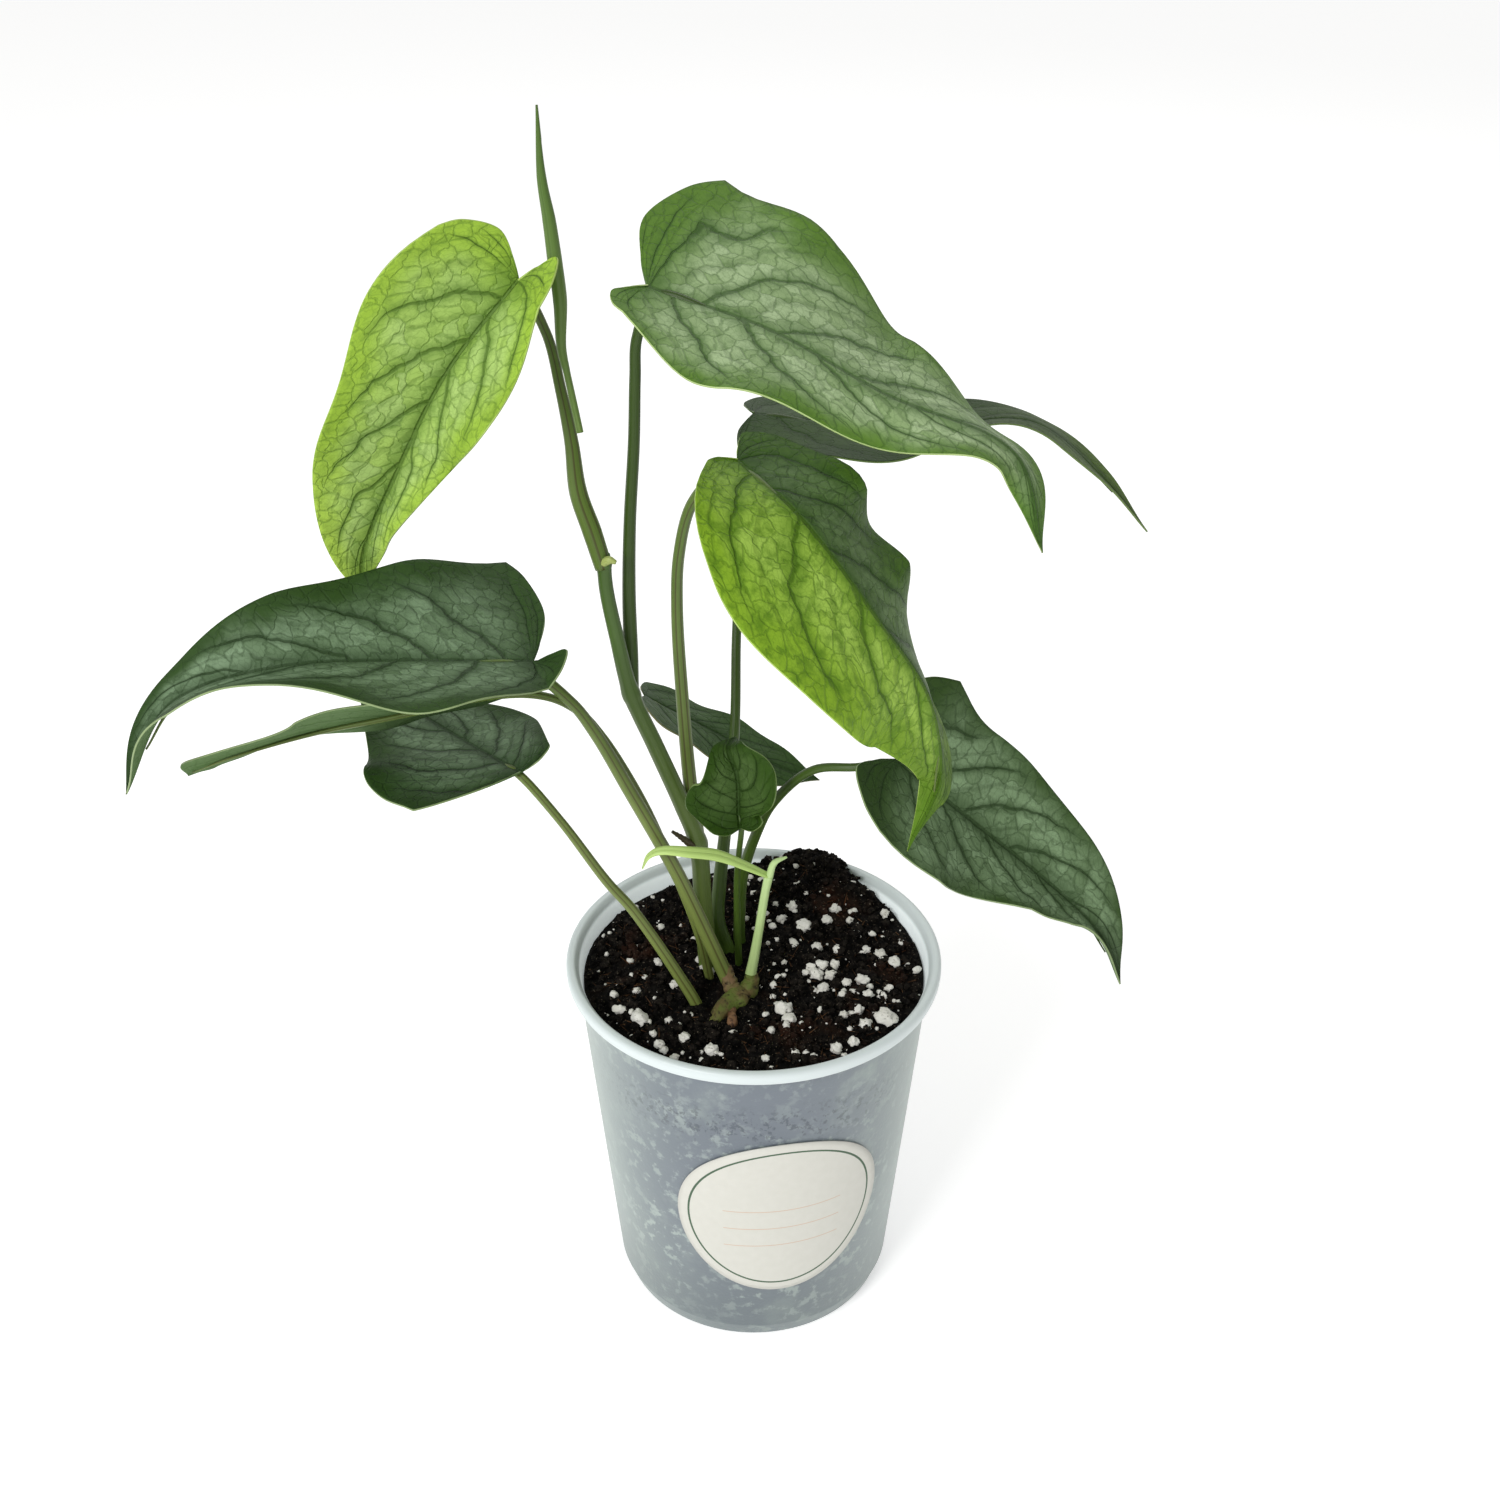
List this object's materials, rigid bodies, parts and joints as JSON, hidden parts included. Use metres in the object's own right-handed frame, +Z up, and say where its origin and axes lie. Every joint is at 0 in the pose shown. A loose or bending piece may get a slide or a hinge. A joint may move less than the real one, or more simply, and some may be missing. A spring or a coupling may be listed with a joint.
{
  "type": "potted monstera siltepecana",
  "caption": "Potted climbing aroid with heart-shaped silvery-green leaves on long stalks, in a round tapered plastic grower's pot with a blank round sticker.",
  "frame": {"origin": "centre of the pot's flat base, on the surface that it stands on", "axes": "+Z up, -Y is the front, where the round sticker is, +X to the right seen from the front"},
  "size_m": [0.2961, 0.1767, 0.389],
  "materials": {
    "pot_plastic": "frosted, slightly see-through",
    "label_paper": "smooth, matt",
    "soil": "rough, loose peat and bark with white grains",
    "stem": "smooth, satin",
    "cutting_bark": "rough",
    "shoot_pale": "smooth, satin",
    "leaf_lime": "satin",
    "leaf_dark": "satin, silvery between the veins",
    "leaf_mid": "satin",
    "leaf_grey": "satin",
    "leaf_young": "satin"
  },
  "bodies": {
    "root": {"pot": "pot_plastic", "label": "label_paper", "soil": "soil", "vine": "stem", "cutting": "cutting_bark", "shoot": "shoot_pale", "leaf_upper_left": "leaf_lime", "leaf_left_long": "leaf_dark", "leaf_left_edge_on": "leaf_dark", "leaf_lower_left": "leaf_dark", "leaf_top": "leaf_mid", "leaf_behind": "leaf_dark", "leaf_centre": "leaf_lime", "leaf_right": "leaf_dark", "leaf_back": "leaf_grey", "leaf_small": "leaf_dark", "leaf_rolled": "leaf_young"}
  },
  "joints": []
}
